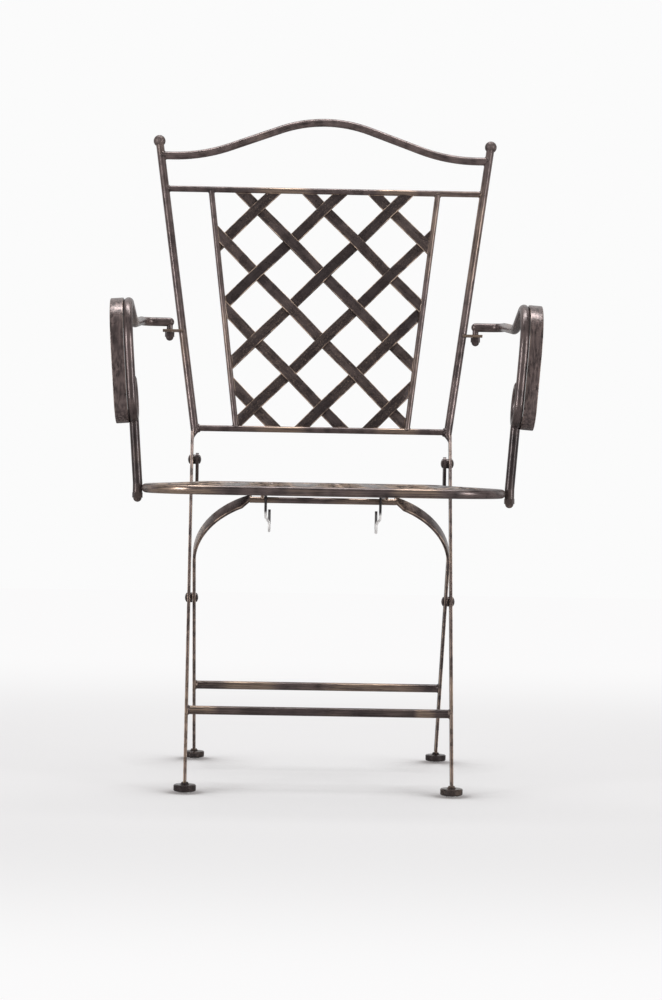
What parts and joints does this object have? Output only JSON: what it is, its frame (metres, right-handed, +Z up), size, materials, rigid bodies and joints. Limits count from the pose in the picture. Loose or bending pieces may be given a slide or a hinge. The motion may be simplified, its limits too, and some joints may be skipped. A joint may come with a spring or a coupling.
{
  "type": "folding garden armchair",
  "caption": "Folding iron garden armchair with woven strip back and seat, crossed flat-bar legs and scrolled arms, in an antique bronze finish.",
  "frame": {"origin": "on the floor under the middle of the chair's bounding box", "axes": "+Z up, the chair faces -Y, +X to the right of someone who looks at its front"},
  "size_m": [0.5868, 0.5761, 0.971],
  "materials": {
    "round_bar": "satin",
    "flat_bar": "satin",
    "fastener": "satin",
    "glide": "matte"
  },
  "bodies": {
    "back_frame": {"arm_lug_left": "round_bar", "arm_lug_right": "round_bar", "back_lattice_falling": "flat_bar", "back_lattice_rising": "flat_bar", "back_upright_left": "round_bar", "back_upright_right": "round_bar", "finial_left": "round_bar", "finial_right": "round_bar", "foot_front_left": "round_bar", "foot_front_right": "round_bar", "front_glides": "glide", "front_leg_left": "flat_bar", "front_leg_right": "flat_bar", "front_stretcher": "round_bar", "hinge_spacers": "fastener", "leg_pivot_bolt_left": "fastener", "leg_pivot_bolt_right": "fastener", "leg_washers": "fastener", "lower_back_rail": "round_bar", "panel_bar_left": "round_bar", "panel_bar_right": "round_bar", "seat_hinge_bolt_left": "fastener", "seat_hinge_bolt_right": "fastener", "top_arch": "round_bar", "upper_back_rail": "round_bar"},
    "rear_legs": {"crossbar": "round_bar", "foot_rear_left": "round_bar", "foot_rear_right": "round_bar", "rear_glides": "glide", "rear_leg_left": "flat_bar", "rear_leg_right": "flat_bar", "rear_stretcher": "round_bar"},
    "seat": {"arm_band_left": "flat_bar", "arm_band_right": "flat_bar", "arm_rod_left": "round_bar", "arm_rod_right": "round_bar", "arm_sleeve_left": "round_bar", "arm_sleeve_right": "round_bar", "front_cap_nuts": "fastener", "hinge_lug_left": "round_bar", "hinge_lug_right": "round_bar", "hook_left": "round_bar", "hook_right": "round_bar", "rear_cap_nuts": "fastener", "seat_lattice_falling": "flat_bar", "seat_lattice_rising": "flat_bar", "seat_rim": "round_bar", "seat_runner_left": "flat_bar", "seat_runner_right": "flat_bar"}
  },
  "joints": [
    {"name": "leg_fold", "type": "hinge", "parent": "back_frame", "child": "rear_legs", "pos_m": [0, -0.003, 0.257], "axis": [-1, 0, 0], "range_deg": [0, 66]},
    {"name": "seat_fold", "type": "hinge", "parent": "back_frame", "child": "seat", "pos_m": [0, 0.12853, 0.452], "axis": [-1, 0, 0], "range_deg": [0, 79.2]}
  ],
  "couplings": [
    {"joint": "seat_fold", "follows": "leg_fold", "ratio": 1.2}
  ]
}
